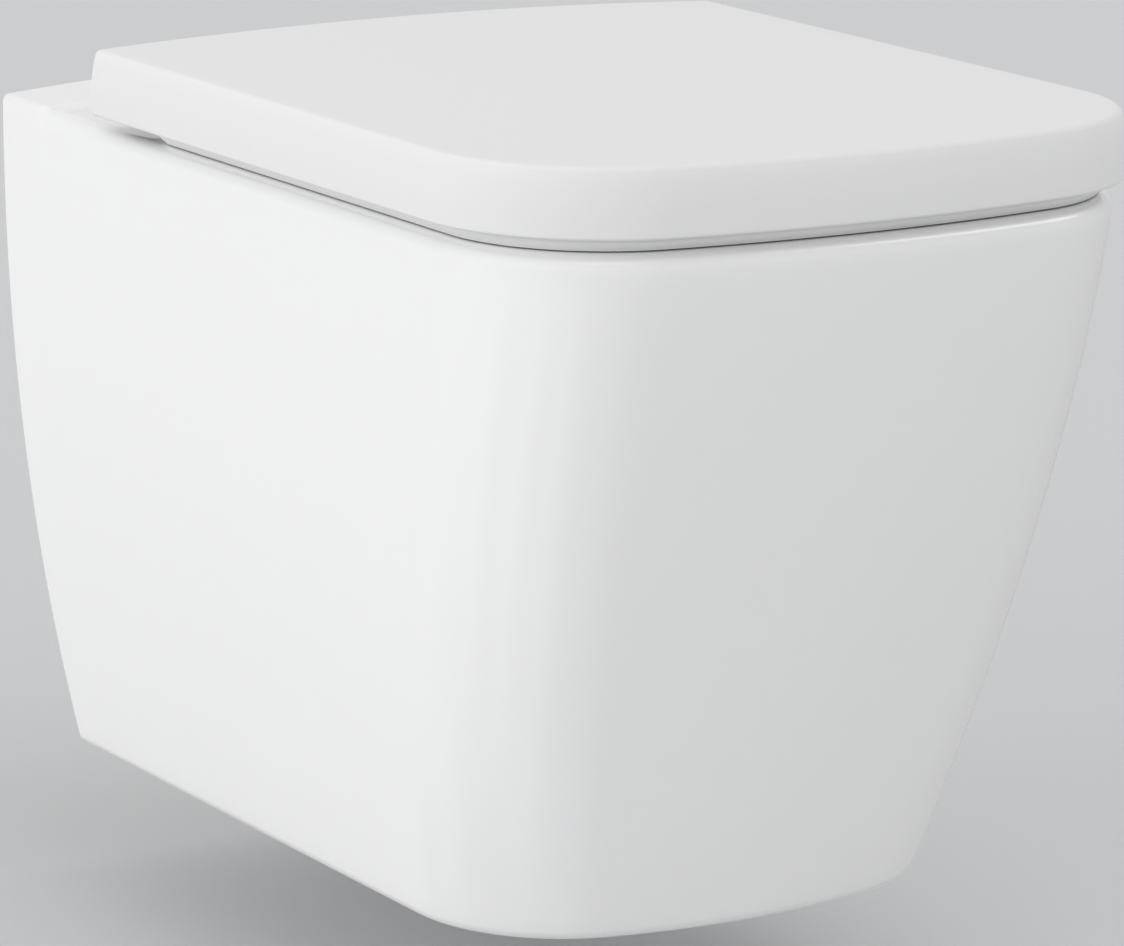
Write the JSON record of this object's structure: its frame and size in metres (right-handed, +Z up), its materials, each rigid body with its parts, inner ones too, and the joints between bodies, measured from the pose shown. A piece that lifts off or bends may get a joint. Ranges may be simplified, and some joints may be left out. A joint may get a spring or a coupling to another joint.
{
  "type": "wall hung toilet",
  "caption": "Rimless wall hung ceramic toilet with hidden wall fixings and a soft-close seat and lid that lift off.",
  "frame": {"origin": "on the wall plane, midway between the two wall bolts", "axes": "+Y into the wall, +Z up, front of the pan towards -Y"},
  "size_m": [0.374, 0.543, 0.3997],
  "materials": {
    "ceramic": "clear glossy glaze over white",
    "seat_plastic": "gloss white thermoset",
    "buffer_rubber": "matt, pale grey",
    "plug_rubber": "matt black",
    "stainless": "brushed",
    "zinc_steel": "bright zinc plate",
    "shaft_steel": "ground",
    "bearing_plastic": "moulded",
    "damper_plastic": "moulded",
    "button_plastic": "satin grey",
    "fixing_plastic": "moulded, natural white"
  },
  "bodies": {
    "pan": {"ceramic_skirt": "ceramic", "ceramic_deck": "ceramic", "ceramic_back_plate": "ceramic", "ceramic_bowl": "ceramic", "ceramic_sump": "ceramic", "ceramic_flush_way": "ceramic", "ceramic_trapway": "ceramic", "wall_bushes": "fixing_plastic", "clamp_block_left": "zinc_steel", "clamp_block_right": "zinc_steel", "clamp_screws": "zinc_steel", "clamp_pads": "fixing_plastic", "expansion_plugs": "plug_rubber", "plug_nuts": "zinc_steel", "hinge_screws": "stainless", "hinge_base_left": "stainless", "hinge_base_right": "stainless"},
    "hinges": {"hinge_post_left": "stainless", "hinge_post_right": "stainless", "retaining_clip_left": "stainless", "retaining_clip_right": "stainless", "seat_pivot_pin": "shaft_steel", "lid_pivot_pin": "shaft_steel", "seat_damper_shaft": "shaft_steel", "lid_damper_shaft": "shaft_steel"},
    "release_button_left_body": {"release_button_left": "button_plastic"},
    "release_button_right_body": {"release_button_right": "button_plastic"},
    "seat": {"seat_ring": "seat_plastic", "seat_buffers": "buffer_rubber", "seat_damper_housing": "damper_plastic", "seat_pivot_bush": "bearing_plastic"},
    "lid": {"lid": "seat_plastic", "lid_buffers": "buffer_rubber", "lid_damper_housing": "damper_plastic", "lid_pivot_bush": "bearing_plastic"}
  },
  "joints": [
    {"name": "seat_lift_off", "type": "slide", "parent": "pan", "child": "hinges", "axis": [0, 0, 1], "range_m": [0, 0.025], "deforming": ["retaining_clip_left", "retaining_clip_right"]},
    {"name": "seat_hinge", "type": "hinge", "parent": "hinges", "child": "seat", "pos_m": [0, -0.125, 0.104], "axis": [-1, 0, 0], "range_deg": [0, 100]},
    {"name": "lid_hinge", "type": "hinge", "parent": "seat", "child": "lid", "pos_m": [0, -0.125, 0.104], "axis": [1, 0, 0], "range_deg": [-100, 0]},
    {"name": "release_left", "type": "slide", "parent": "hinges", "child": "release_button_left_body", "axis": [0, 1, 0], "range_m": [0, 0.0025], "stiffness_N_per_m": 1500, "springref_m": -0.001, "deforming": ["retaining_clip_left"]},
    {"name": "release_right", "type": "slide", "parent": "hinges", "child": "release_button_right_body", "axis": [0, 1, 0], "range_m": [0, 0.0025], "stiffness_N_per_m": 1500, "springref_m": -0.001, "deforming": ["retaining_clip_right"]}
  ]
}
